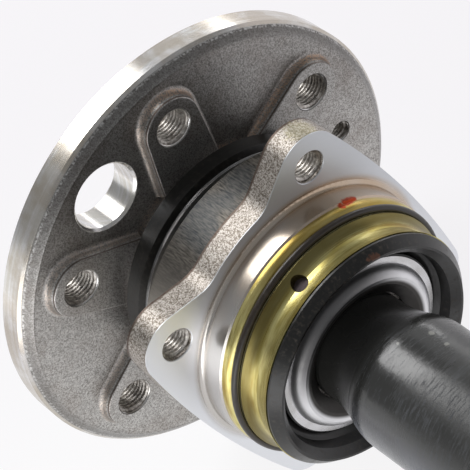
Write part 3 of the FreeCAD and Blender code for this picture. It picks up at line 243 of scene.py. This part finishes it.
# Hub: dark forging, with the rim, the holes and the rolled collar bare and bright
hubLooks = {
    "forged": linear(205, 203, 200),
    "forgedDark": linear(135, 132, 128),
    "forgedLight": linear(244, 243, 241),
    "forgedRust": linear(132, 116, 104),
    "bank": linear(184, 160, 140),
    "bankRust": linear(190, 140, 92),
    "crestShade": linear(84, 66, 54),
    "slope": linear(80, 77, 74),
    "bare": linear(222, 221, 221),
    "bareWarm": linear(205, 201, 194),
    "rimReflection": linear(176, 164, 146),
    "collar": linear(238, 238, 240),
    "collarDark": linear(70, 68, 66),
    "rimEdge": (85.1, 85.6),
    "faceEdge": (0.9, 1.2),
    "collarEdge": (92.1, 92.4),
    "stubEdge": (37.0, 37.6),
    "holeLip": 0.15,
    "accessLip": 0.75,
    "lipSoftness": 0.35,
    "grainShare": 0.6,
    "grainTone": (0.36, 0.64),
    "cloudNoise": (0.07, 3.0, 0.6),
    "fleckNoise": (3.1, 2.0, 0.6),
    "fleckTone": (0.56, 0.7),
    "fleckShare": 0.55,
    "rustTone": (0.4, 0.75),
    "rustShare": 0.25,
    "topShadeWay": (0.65, 0.75),
    "topShadeWobble": 40.0,
    "topShadeTone": (20.0, 95.0),
    "topShadeLevel": 0.66,
    "padEdge": (81.5, 82.1),
    "crestBand": (16.5, 17.15, 0.12),
    "crestShare": 0.75,
    "flankBand": (13.25, 15.8, 0.3),
    "flankTone": (0.42, 0.6),
    "flankShare": 0.6,
    "rustSide": (10.0, 40.0),
    "slopeEdge": (80.6, 83.6),
    "slopeShare": 0.5,
    "rimGlintBand": (84.6, 85.2, 0.2),
    "rimGlintNoise": (1.1, 3.0),
    "rimGlintTone": (0.4, 0.65),
    "rimGlintShare": 0.45,
    "fineTurning": (3.0, 2.0),
    "broadTurning": (0.6, 1.6),
    "turningTone": (0.3, 0.7),
    "rimReflectionTone": (0.35, 0.6),
    "rimReflectionShare": 0.6,
    "collarShadeSide": (6.0, 26.0),
    "collarShadeEdge": (33.0, 33.6),
    "collarShadeShare": 0.85,
    "mouthEdge": (26.4, 28.0),
    "scuffNoise": (0.5, 4.0, 0.7),
    "forgedRoughness": (0.3, 0.16),
    "bareRoughness": (0.18, 0.1),
    "scuffRoughness": (0.1, 0.2),
    "cloudRelief": 1.5,
    "turningRelief": 0.015,
    "scuffRelief": 0.2,
    "depth": 0.13,
}


def bareHoles(paint):  # one mask for each hole through the flange
    looks = hubLooks
    boltReach = sizes["boltHole"] + looks["holeLip"]
    screwReach = sizes["screwHole"] + looks["holeLip"]
    accessReach = sizes["accessHole"] + looks["accessLip"]
    places = [(sizes["boltCircle"], boltAngle(index), boltReach) for index in range(sizes["boltCount"])]
    places.append((sizes["boltCircle"], sizes["hubClock"] + sizes["screwTurn"], screwReach))
    places.append((sizes["accessCircle"], sizes["hubClock"] + sizes["accessTurn"], accessReach))
    masks = []
    for circle, angle, radius in places:
        holeY, holeZ = onCircle(circle, angle)
        away = ((paint.y - holeY) ** 2 + (paint.z - holeZ) ** 2) ** 0.5
        masks.append(1 - paint.rise(away, radius, radius + looks["lipSoftness"]))
    return masks


def makeHubFinish():
    looks = hubLooks
    paint = Paint("hubForging", Metallic=0.9, Roughness=0.4)
    x, y, z, r = paint.x, paint.y, paint.z, paint.r
    rim = paint.rise(r, *looks["rimEdge"])
    face = 1 - paint.rise(x, *looks["faceEdge"])
    collar = paint.rise(x, *looks["collarEdge"])
    stub = 1 - paint.rise(r, *looks["stubEdge"])
    bare = paint.most(rim, face, stub, *bareHoles(paint))

    # the forging's skin, with painted shade darkening its top side, painted shade along the pads' top edges,
    # and browner banks round the pads
    grain = paint.forging(looks["grainShare"])
    cloud = paint.cloud(*looks["cloudNoise"])
    flecks = paint.rise(paint.cloud(*looks["fleckNoise"]), *looks["fleckTone"])
    forged = paint.blend(paint.rise(grain, *looks["grainTone"]), looks["forgedDark"], looks["forged"])
    forged = paint.blend(flecks * looks["fleckShare"], forged, looks["forgedLight"])
    rust = paint.rise(cloud, *looks["rustTone"]) * looks["rustShare"]
    forged = paint.blend(rust, forged, looks["forgedRust"])
    # painted shade: the forging darkened towards its top side
    topShade = paint.rise(paint.towards(*looks["topShadeWay"]) + cloud * looks["topShadeWobble"], *looks["topShadeTone"])
    forged = paint.blend(topShade, forged, paint.scale(forged, looks["topShadeLevel"]))
    onPad = 1 - paint.rise(r, *looks["padEdge"])
    crest = paint.band(x, *looks["crestBand"]) * onPad
    flank = paint.band(x, *looks["flankBand"]) * onPad * paint.rise(grain, *looks["flankTone"])
    bank = paint.blend(paint.rise(y, *looks["rustSide"]), looks["bank"], looks["bankRust"])
    forged = paint.blend(flank * looks["flankShare"], forged, bank)
    # painted shade: a dark line just under each pad's top edge
    forged = paint.blend(crest * looks["crestShare"], forged, looks["crestShade"])
    slope = paint.rise(r, *looks["slopeEdge"])
    forged = paint.blend(slope * looks["slopeShare"], forged, looks["slope"])
    # painted glints: light specks along the inner edge of the rim
    rimGlints = paint.band(r, *looks["rimGlintBand"])
    rimGlints = rimGlints * paint.rise(paint.cloud(*looks["rimGlintNoise"]), *looks["rimGlintTone"])
    forged = paint.blend(rimGlints * looks["rimGlintShare"], forged, looks["forgedLight"])

    # bare metal, with painted shade on the collar's upper side and in its mouth
    lines = paint.turning(*looks["fineTurning"])
    broad = paint.rise(paint.turning(*looks["broadTurning"]), *looks["turningTone"])
    metal = paint.blend(broad, looks["bareWarm"], looks["bare"])
    # painted reflection: warm brown patches on the bare rim
    warm = rim * paint.rise(cloud, *looks["rimReflectionTone"])
    metal = paint.blend(warm * looks["rimReflectionShare"], metal, looks["rimReflection"])
    # painted shade: the collar darker towards its top and where it rolls into the bore
    collarShade = paint.rise(z, *looks["collarShadeSide"]) * (1 - paint.rise(r, *looks["collarShadeEdge"]))
    collarShade = paint.most(collarShade * looks["collarShadeShare"], 1 - paint.rise(r, *looks["mouthEdge"]))
    metal = paint.blend(collar, metal, paint.blend(collarShade, looks["collar"], looks["collarDark"]))
    metal = paint.blend(paint.dabs("ring"), metal, marks["rust"])

    paint.feed(Base_Color=paint.blend(bare, forged, metal))
    scuffs = paint.cloud(*looks["scuffNoise"])
    bareRoughness = paint.vary(lines, *looks["bareRoughness"])
    bareRoughness = bareRoughness + collar * paint.vary(scuffs, *looks["scuffRoughness"])
    paint.feed(Roughness=paint.lerp(bare, paint.vary(grain, *looks["forgedRoughness"]), bareRoughness))
    skin = grain + cloud * looks["cloudRelief"]
    cut = lines * looks["turningRelief"] + collar * scuffs * looks["scuffRelief"]
    paint.relief(paint.lerp(bare, skin, cut), looks["depth"])
    paint.dress("hub_flange")


makeHubFinish()

# Housing: machined and oiled barrel with painted light on its -Y side, as-forged flange edge, turned face
# with painted shade on its upper side, and polished spigot
housingLooks = {
    "barrel": linear(108, 103, 96),
    "barrelDark": linear(44, 42, 39),
    "barrelBlue": linear(60, 66, 71),
    "barrelLit": linear(172, 166, 158),
    "forged": linear(190, 184, 177),
    "forgedDark": linear(110, 101, 91),
    "turned": linear(234, 236, 240),
    "turnedShade": linear(190, 193, 197),
    "turnedWarm": linear(196, 192, 187),
    "residue": linear(222, 214, 150),
    "stain": linear(188, 158, 122),
    "rust": linear(58, 32, 20),
    "turnedEdge": (65.95, 66.2),
    "forgedEdge": (55.6, 56.2),
    "grainShare": 0.55,
    "grainTone": (0.4, 0.6),
    "streaks": (95.0, 0.35),
    "streakTone": (0.25, 0.75),
    "blueNoise": (0.05, 2.0),
    "blueTone": (0.42, 0.62),
    "blueShare": 0.45,
    "litWay": (-1.0, 0.0),
    "litSide": (4.0, 40.0),
    "litShare": 0.8,
    "warmEdge": (50.4, 54.0),
    "upperWay": (0.8, 0.6),
    "upperSide": (0.0, 75.0),
    "upperShare": 0.8,
    "stainNoise": (0.08, 2.0),
    "stainWobble": 50.0,
    "stainSide": (20.0, 85.0),
    "stainShare": 0.65,
    "rustBand": (54.9, 56.9, 0.4),
    "rustTone": (0.25, 0.6),
    "rustShare": 0.9,
    "residueShare": 0.16,
    "turning": (2.5, 1.5),
    "spigotEdge": (51.6, 52.2),
    "barrelRoughness": (0.34, 0.2),
    "forgedRoughness": (0.38, 0.2),
    "faceRoughness": 0.38,
    "spigotRoughness": 0.2,
    "turningRoughness": 0.1,
    "streakRelief": 0.5,
    "turningRelief": 0.04,
    "depth": 0.14,
}


def makeHousingFinish():
    looks = housingLooks
    paint = Paint("housingSteel", Metallic=0.95, Roughness=0.35)
    x, r = paint.x, paint.r
    turned = paint.rise(x, *looks["turnedEdge"])
    edge = paint.rise(x, *looks["forgedEdge"]) * (1 - turned)
    grain = paint.forging(looks["grainShare"])
    streak = paint.streaks(*looks["streaks"])

    barrel = paint.blend(paint.rise(streak, *looks["streakTone"]), looks["barrelDark"], looks["barrel"])
    blue = paint.rise(paint.cloud(*looks["blueNoise"]), *looks["blueTone"])
    barrel = paint.blend(blue * looks["blueShare"], barrel, looks["barrelBlue"])
    # painted light: the barrel lighter towards -Y
    low = paint.rise(paint.towards(*looks["litWay"]), *looks["litSide"])
    barrel = paint.blend(low * looks["litShare"], barrel, looks["barrelLit"])
    forged = paint.blend(paint.rise(grain, *looks["grainTone"]), looks["forgedDark"], looks["forged"])
    colour = paint.blend(edge, barrel, forged)

    warm = 1 - paint.rise(r, *looks["warmEdge"])
    upper = paint.towards(*looks["upperWay"])
    # painted shade: the turned face greyer towards its upper side
    upperShade = paint.rise(upper, *looks["upperSide"]) * looks["upperShare"]
    metal = paint.blend(upperShade, looks["turned"], looks["turnedShade"])
    metal = paint.blend(warm, metal, looks["turnedWarm"])
    wobble = paint.cloud(*looks["stainNoise"]) * looks["stainWobble"]
    stain = warm * paint.rise(upper + wobble, *looks["stainSide"])
    metal = paint.blend(stain * looks["stainShare"], metal, looks["stain"])
    colour = paint.blend(turned, colour, metal)

    rust = paint.band(x, *looks["rustBand"]) * paint.rise(grain, *looks["rustTone"])
    colour = paint.blend(rust * looks["rustShare"], colour, looks["rust"])
    residue = edge * paint.dabs("residue")
    colour = paint.blend(residue * looks["residueShare"], colour, looks["residue"])
    paint.feed(Base_Color=paint.blend(paint.dabs("edge"), colour, marks["red"]))

    lines = paint.turning(*looks["turning"])
    spigot = turned * (1 - paint.rise(r, *looks["spigotEdge"]))
    rough = paint.lerp(edge, paint.vary(streak, *looks["barrelRoughness"]),
                       paint.vary(grain, *looks["forgedRoughness"]))
    smooth = paint.lerp(spigot, looks["faceRoughness"], looks["spigotRoughness"])
    smooth = smooth + lines * looks["turningRoughness"]
    paint.feed(Roughness=paint.lerp(turned, rough, smooth))
    skin = paint.lerp(edge, streak * looks["streakRelief"], grain)
    paint.relief(paint.lerp(turned, skin, lines * looks["turningRelief"]), looks["depth"])
    paint.dress("outer_ring")


makeHousingFinish()

# Ground and pressed steel: rings, rollers, cases, throwers, bolt, washer and clip
steelLooks = {
    "light": linear(212, 212, 214),
    "dark": linear(186, 185, 184),
    "cloudNoise": (0.1, 3.0),
    "cloudTone": (0.3, 0.7),
    "turning": (2.2, 1.2),
    "roughness": (0.18, 0.16),
    "depth": 0.02,
}


def makeSteelFinish():
    looks = steelLooks
    paint = Paint("groundSteel", Metallic=1.0, Roughness=0.25)
    cloud = paint.rise(paint.cloud(*looks["cloudNoise"]), *looks["cloudTone"])
    lines = paint.turning(*looks["turning"])
    paint.feed(Base_Color=paint.blend(cloud, looks["dark"], looks["light"]))
    paint.feed(Roughness=paint.vary(lines, *looks["roughness"]))
    paint.relief(lines, looks["depth"])
    paint.dress("outboard_rollers", "inboard_rollers", "outboard_inner_ring", "inboard_inner_ring",
                "wheel_seal_flinger", "wheel_seal_case", "inboard_seal_case", "inboard_flinger",
                "garter_spring", "retaining_ring", "axle_bolt", "axle_washer")


makeSteelFinish()

# Case inside the black seal: dull steel, darkened to a brown as painted shade where it shows through the
# sleeve hole
caseLooks = {
    "brown": linear(98, 86, 88),
    "dark": linear(64, 56, 60),
    "cloudNoise": (0.4, 3.0),
    "cloudTone": (0.3, 0.7),
    "turning": (2.0, 1.0),
    "depth": 0.02,
}


def makeCaseFinish():
    looks = caseLooks
    paint = Paint("pressedCase", Metallic=0.4, Roughness=0.6)
    cloud = paint.rise(paint.cloud(*looks["cloudNoise"]), *looks["cloudTone"])
    paint.feed(Base_Color=paint.blend(cloud, looks["dark"], looks["brown"]))
    paint.relief(paint.turning(*looks["turning"]), looks["depth"])
    paint.dress("axle_seal_case")


makeCaseFinish()

# Rubber: black and dusty, browner on the O-ring, with rust on the outer seal
rubberLooks = {
    "black": linear(18, 17, 15),
    "brown": linear(44, 36, 28),
    "dust": linear(86, 78, 68),
    "cordBand": (79.0, 84.0, 0.2),
    "dustNoise": (0.6, 4.0, 0.7),
    "dustTone": (0.48, 0.78),
    "outerEdge": (94.0, 95.0),
    "dustShares": (0.3, 0.3),
    "rustShare": 0.6,
    "turning": (1.2, 1.0),
    "roughness": (0.3, 0.3),
    "dustRelief": 0.5,
    "depth": 0.04,
}


def makeRubberFinish():
    looks = rubberLooks
    paint = Paint("blackRubber", Metallic=0.0, Roughness=0.4)
    dust = paint.rise(paint.cloud(*looks["dustNoise"]), *looks["dustTone"])
    colour = paint.blend(paint.band(paint.x, *looks["cordBand"]), looks["black"], looks["brown"])
    outer = paint.rise(paint.x, *looks["outerEdge"])
    colour = paint.blend(dust * paint.vary(outer, *looks["dustShares"]), colour, looks["dust"])
    colour = paint.blend(paint.dabs("seal") * looks["rustShare"], colour, marks["rust"])
    paint.feed(Base_Color=colour)
    paint.feed(Roughness=paint.vary(dust, *looks["roughness"]))
    paint.relief(paint.turning(*looks["turning"]) + dust * looks["dustRelief"], looks["depth"])
    paint.dress("wheel_seal_lips", "inboard_seal_lips", "encoder_ring", "carrier_o_ring",
                "axle_seal_lip")


makeRubberFinish()

# Zinc carrier: olive and gold, browner at the top of its band, with painted shade where the sleeve starts
# and a painted highlight line at the sleeve's lip
zincLooks = {
    "gold": linear(230, 222, 158),
    "olive": linear(172, 154, 76),
    "shade": linear(100, 90, 54),
    "brown": linear(150, 116, 44),
    "edge": linear(226, 220, 176),
    "cloudNoise": (0.5, 0.06, 1.0, 3.0, 0.6),
    "cloudTone": (0.35, 0.65),
    "cloudShare": 0.6,
    "turning": (5.0, 0.5),
    "turningShare": 0.35,
    "stainNoise": (0.35, 0.035, 1.0, 3.0, 0.7),
    "stainTone": (0.5, 0.7),
    "stainShare": 0.6,
    "bandEdge": (80.2, 80.6),
    "upperWay": (0.6, 0.8),
    "upperSide": (25.0, 49.0),
    "upperShare": 0.55,
    "hollowStart": (83.4, 83.7),
    "hollowEnd": (85.6, 89.0),
    "sleeveShadeShare": 0.85,
    "highlightLine": 83.3,
    "lineEdge": (0.15, 0.3),
    "roughness": (0.22, 0.16),
    "depth": 0.015,
}


def makeZincFinish():
    looks = zincLooks
    paint = Paint("yellowZinc", Metallic=0.95, Roughness=0.25)
    x = paint.x
    lines = paint.turning(*looks["turning"])
    cloud = paint.rise(paint.drawn(*looks["cloudNoise"]), *looks["cloudTone"])
    gold = cloud * looks["cloudShare"] + lines * looks["turningShare"]
    colour = paint.blend(gold, looks["olive"], looks["gold"])
    stained = paint.rise(paint.drawn(*looks["stainNoise"]), *looks["stainTone"])
    colour = paint.blend(stained * looks["stainShare"], colour, looks["brown"])
    upper = paint.rise(paint.towards(*looks["upperWay"]), *looks["upperSide"])
    upper = upper * (1 - paint.rise(x, *looks["bandEdge"]))
    colour = paint.blend(upper * looks["upperShare"], colour, looks["brown"])
    # painted shade in the hollow where the sleeve starts
    sleeveShade = paint.rise(x, *looks["hollowStart"]) * (1 - paint.rise(x, *looks["hollowEnd"]))
    colour = paint.blend(sleeveShade * looks["sleeveShadeShare"], colour, looks["shade"])
    # painted highlight: a thin light line at the sleeve's lip
    away = paint.maths("ABSOLUTE", x - looks["highlightLine"])
    colour = paint.blend(1 - paint.rise(away, *looks["lineEdge"]), colour, looks["edge"])
    paint.feed(Base_Color=paint.blend(paint.dabs("edge"), colour, marks["red"]))
    paint.feed(Roughness=paint.vary(lines, *looks["roughness"]))
    paint.relief(lines, looks["depth"])
    paint.dress("seal_carrier")


makeZincFinish()

# Shaft: glossy black paint, scratched on the tube, with painted glints and a painted pale reflection on its
# underside, bare at the far splines
shaftLooks = {
    "black": linear(46, 46, 44),
    "worn": linear(84, 87, 94),
    "bare": linear(170, 168, 164),
    "shaftGlint": linear(206, 204, 194),
    "dust": linear(128, 130, 138),
    "bareBand": (717.5, 800.0, 0.3),
    "tubeEdge": (112.0, 117.0),
    "patchNoise": (0.045, 2.0),
    "patchTone": (0.4, 0.62),
    "scratchNoise": (1.3, 0.2, 1.0, 5.0, 0.7),
    "scratchTone": (0.46, 0.7),
    "scratchShares": (0.4, 0.6),
    "wornShare": 0.5,
    "shaftGlintShare": 0.35,
    "sheenWay": (-0.9, -0.3),
    "sheenSide": (6.0, 24.0),
    "dustShares": (0.6, 0.4),
    "sheenShare": 0.8,
    "gloss": 0.19,
    "scratchRoughness": 0.35,
    "patchRoughness": 0.1,
    "farEdge": (124.0, 175.0),
    "farRoughness": 0.2,
    "scratchRelief": 0.6,
    "dentNoise": (0.15, 4.0),
    "dentRelief": 3.5,
    "depth": 0.03,
}


def makeShaftFinish():
    looks = shaftLooks
    paint = Paint("blackShaft", Metallic=0.0, Roughness=0.2, Specular_IOR_Level=0.7)
    x = paint.x
    bare = paint.band(x, *looks["bareBand"])
    tube = paint.rise(x, *looks["tubeEdge"])
    patch = paint.rise(paint.cloud(*looks["patchNoise"]), *looks["patchTone"])
    scratches = paint.rise(paint.drawn(*looks["scratchNoise"]), *looks["scratchTone"])
    scratches = scratches * paint.vary(patch, *looks["scratchShares"]) * tube
    colour = paint.blend(scratches * looks["wornShare"], looks["black"], looks["worn"])
    # painted highlights: small bright glints on the shaft
    colour = paint.blend(paint.dabs("shaftGlints") * looks["shaftGlintShare"], colour, looks["shaftGlint"])
    # painted reflection: a pale bluish sheen towards the underside of the tube, in random patches; the dust
    # colour and dustShares carry it
    underSheen = paint.rise(paint.towards(*looks["sheenWay"]), *looks["sheenSide"])
    underSheen = underSheen * paint.vary(patch, *looks["dustShares"]) * tube
    colour = paint.blend(underSheen * looks["sheenShare"], colour, looks["dust"])
    paint.feed(Base_Color=paint.blend(bare, colour, looks["bare"]))
    paint.feed(Metallic=paint.lerp(bare, 0.0, 1.0))
    rough = looks["gloss"] + scratches * looks["scratchRoughness"] + patch * looks["patchRoughness"]
    paint.feed(Roughness=rough + paint.rise(x, *looks["farEdge"]) * looks["farRoughness"])
    dents = paint.cloud(*looks["dentNoise"]) * looks["dentRelief"]
    paint.relief(scratches * looks["scratchRelief"] + dents, looks["depth"])
    paint.dress("stub_shaft", "shaft_tube", "inboard_stub")


makeShaftFinish()

# Cages: brown moulded plastic
cageLooks = {
    "brown": linear(96, 68, 44),
    "dark": linear(70, 48, 32),
    "speckleNoise": (1.5, 3.0),
    "depth": 0.02,
}


def makeCageFinish():
    looks = cageLooks
    paint = Paint("cagePlastic", Metallic=0.0, Roughness=0.5)
    speckle = paint.cloud(*looks["speckleNoise"])
    paint.feed(Base_Color=paint.blend(speckle, looks["brown"], looks["dark"]))
    paint.relief(speckle, looks["depth"])
    paint.dress("outboard_cage", "inboard_cage")


makeCageFinish()
print("finishes made")

# Threads: one ridge wound down each tapped hole, in millimetres
# The profile is how far along the pitch, and how much of the depth, each point lies
threadLooks = {
    "cut": linear(226, 222, 216),
    "oiled": linear(150, 144, 138),
    "cloudNoise": (0.7, 3.0),
    "cloudTone": (0.3, 0.7),
    "roughness": (0.42, 0.1),
    "finishDepth": 0.01,
    "steps": 40,
    "profile": ((0.0, 0.0), (0.14, 0.55), (0.3, 1.0), (0.62, 1.0), (0.78, 0.55), (0.92, 0.0), (1.0, 0.0)),
    "depthPerPitch": 0.6,
    "runOutTurns": 0.5,
    "clearance": 0.01,
    "wheelPitch": 1.5,
    "screwPitch": 1.25,
    "earPitch": 1.5,
    "hubInset": 0.3,
    "earInset": 0.2,
}


def makeThreadFinish():
    looks = threadLooks
    paint = Paint("cutThread", Metallic=1.0, Roughness=0.3)
    cloud = paint.cloud(*looks["cloudNoise"])
    tone = paint.rise(cloud, *looks["cloudTone"])
    paint.feed(Base_Color=paint.blend(tone, looks["oiled"], looks["cut"]))
    paint.feed(Roughness=paint.vary(cloud, *looks["roughness"]))
    paint.relief(cloud, looks["finishDepth"])
    return paint.material


threadFinish = makeThreadFinish()


def windThread(name, body, centre, start, end, holeRadius, pitch):
    looks = threadLooks
    steps = looks["steps"]
    radius = holeRadius - looks["clearance"]
    depth = looks["depthPerPitch"] * pitch
    count = int(((end - start) / pitch - 1) * steps)
    mesh = bmesh.new()
    previous = None
    for index in range(count + 1):
        angle = 2 * math.pi * index / steps
        ease = min(1.0, min(index, count - index) / steps / looks["runOutTurns"])
        row = []
        for share, inwards in looks["profile"]:
            along = start + pitch * (index / steps + share)
            distance = radius - depth * inwards * ease
            y = centre[0] + distance * math.cos(angle)
            z = centre[1] + distance * math.sin(angle)
            row.append(mesh.verts.new(Vector((along, y, z)) * millimetre))
        if previous:
            for left, right in zip(range(len(row) - 1), range(1, len(row))):
                mesh.faces.new((previous[left], row[left], row[right], previous[right]))
        previous = row
    bmesh.ops.recalc_face_normals(mesh, faces=mesh.faces)
    data = bpy.data.meshes.new(name)
    mesh.to_mesh(data)
    mesh.free()
    data.materials.append(threadFinish)
    piece = bpy.data.objects.new(name, data)
    bpy.context.collection.objects.link(piece)
    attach(piece, body)


def makeThreads():
    looks = threadLooks
    inset = looks["hubInset"]
    for index in range(sizes["boltCount"]):
        place = onCircle(sizes["boltCircle"], boltAngle(index))
        windThread("wheel_bolt_thread_%d" % (index + 1), "hub", place, inset, sizes["padFace"] - inset,
                   sizes["boltHole"], looks["wheelPitch"])
    place = onCircle(sizes["boltCircle"], sizes["hubClock"] + sizes["screwTurn"])
    windThread("disc_screw_thread", "hub", place, inset, sizes["webFace"] - inset,
               sizes["screwHole"], looks["screwPitch"])
    inset = looks["earInset"]
    corners = [(side, up) for up in (1, -1) for side in (1, -1)]
    for index, (side, up) in enumerate(corners):
        place = (side * sizes["earHoleY"], up * sizes["earHoleZ"])
        windThread("ear_thread_%d" % (index + 1), "bearing_housing", place, sizes["earBack"] + inset,
                   sizes["earFace"] - inset, sizes["earHole"], looks["earPitch"])


makeThreads()
print("threads wound")

# Floor, lights and camera; the floor glows only where it is seen, mirrored or seen through, whitest round a
# painted pool of light
studio = {
    "floor": linear(255, 255, 255),
    "far": linear(247, 245, 248),
    "glow": 0.9,
    "paper": linear(250, 250, 251),
    "paperShade": linear(247, 247, 249),
    "paperNoise": (0.01, 2.0),
    "lightPoolCentre": (60.0, -170.0),
    "lightPoolReach": 330.0,
    "floorDrop": 0.0885,
    "floorReach": 6.0,
    "air": (0.95, 0.97, 1.0, 1),
    "airGlow": 0.3,
    "lampAim": (0.05, 0, 0),
}


def makeFloor():
    reach = studio["floorReach"]
    corners = [(x * reach, y * reach, -studio["floorDrop"]) for x, y in ((-1, -1), (1, -1), (1, 1), (-1, 1))]
    mesh = bpy.data.meshes.new("floor")
    mesh.from_pydata(corners, [], [(0, 1, 2, 3)])
    floor = bpy.data.objects.new("floor", mesh)
    bpy.context.collection.objects.link(floor)
    paint = Paint("floorPaper", Roughness=0.9, Specular_IOR_Level=0.0)
    seen, mirrored, through = [paint.add("LightPath", {}, {}, "Is %s Ray" % kind)
                               for kind in ("Camera", "Glossy", "Transmission")]
    direct = paint.maths("MINIMUM", seen + mirrored + through, 1.0)
    # painted pool of light: the glow whitest near one spot on the floor
    spotX, spotY = studio["lightPoolCentre"]
    away = ((paint.x - spotX) ** 2 + (paint.y - spotY) ** 2) ** 0.5
    fade = paint.rise(away, 0.0, studio["lightPoolReach"])
    glow = paint.add("Emission", {}, {"Color": paint.blend(fade, studio["floor"], studio["far"])})
    grain = paint.cloud(*studio["paperNoise"])
    paint.feed(Base_Color=paint.blend(grain, studio["paper"], studio["paperShade"]))
    paint.finish(paint.add("MixShader", {}, {0: direct * studio["glow"], 1: paint.surface(), 2: glow}))
    mesh.materials.append(paint.material)


makeFloor()

# Lamps: place and size in metres, and how bright the panel itself looks
lamps = {
    "softboxAbove": ((-0.55, 0.2, 0.78), 0.55, 0.6, 6.0),
    "wallRight": ((-0.5, 1.15, 0.33), 1.2, 0.75, 0.55),
    "stripRight": ((-0.5, 0.9, -0.03), 0.9, 0.1, 3.5),
    "wallLeft": ((-0.3, -1.2, 0.2), 1.8, 0.7, 0.85),
    "fillLeft": ((0.5, -0.85, 0.12), 0.9, 0.45, 2.6),
}


def makeLight(name, place, width, height, glow):
    data = bpy.data.lights.new(name, "AREA")
    data.shape = "RECTANGLE"
    data.size = width
    data.size_y = height
    data.energy = glow * math.pi * width * height
    light = bpy.data.objects.new(name, data)
    light.location = place
    aim = Vector(studio["lampAim"]) - Vector(place)
    light.rotation_euler = aim.to_track_quat("-Z", "Y").to_euler()
    bpy.context.collection.objects.link(light)


for name, values in lamps.items():
    makeLight(name, *values)

world = bpy.data.worlds.new("studio")
bpy.context.scene.world = world
world.use_nodes = True
air = world.node_tree.nodes["Background"].inputs
air["Color"].default_value = studio["air"]
air["Strength"].default_value = studio["airGlow"]

bpy.context.scene.view_settings.view_transform = "Standard"

# Camera: place and nearest in metres, its right and back directions, lens and sensor in millimetres
view = {
    "place": (0.5738, -0.0187, 0.7048),
    "right": (0.6410, 0.5960, -0.4837),
    "back": (0.6182, -0.0274, 0.7855),
    "lens": 187.8,
    "sensor": 36,
    "nearest": 0.01,
}


def makeCamera():
    data = bpy.data.cameras.new("camera")
    data.lens = view["lens"]
    data.sensor_width = view["sensor"]
    data.clip_start = view["nearest"]
    camera = bpy.data.objects.new("camera", data)
    back = Vector(view["back"]).normalized()
    right = Vector(view["right"])
    right = (right - back * right.dot(back)).normalized()
    turn = Matrix((right, back.cross(right), back)).transposed()
    camera.matrix_world = Matrix.Translation(view["place"]) @ turn.to_4x4()
    bpy.context.collection.objects.link(camera)
    bpy.context.scene.camera = camera


makeCamera()
print("studio set")
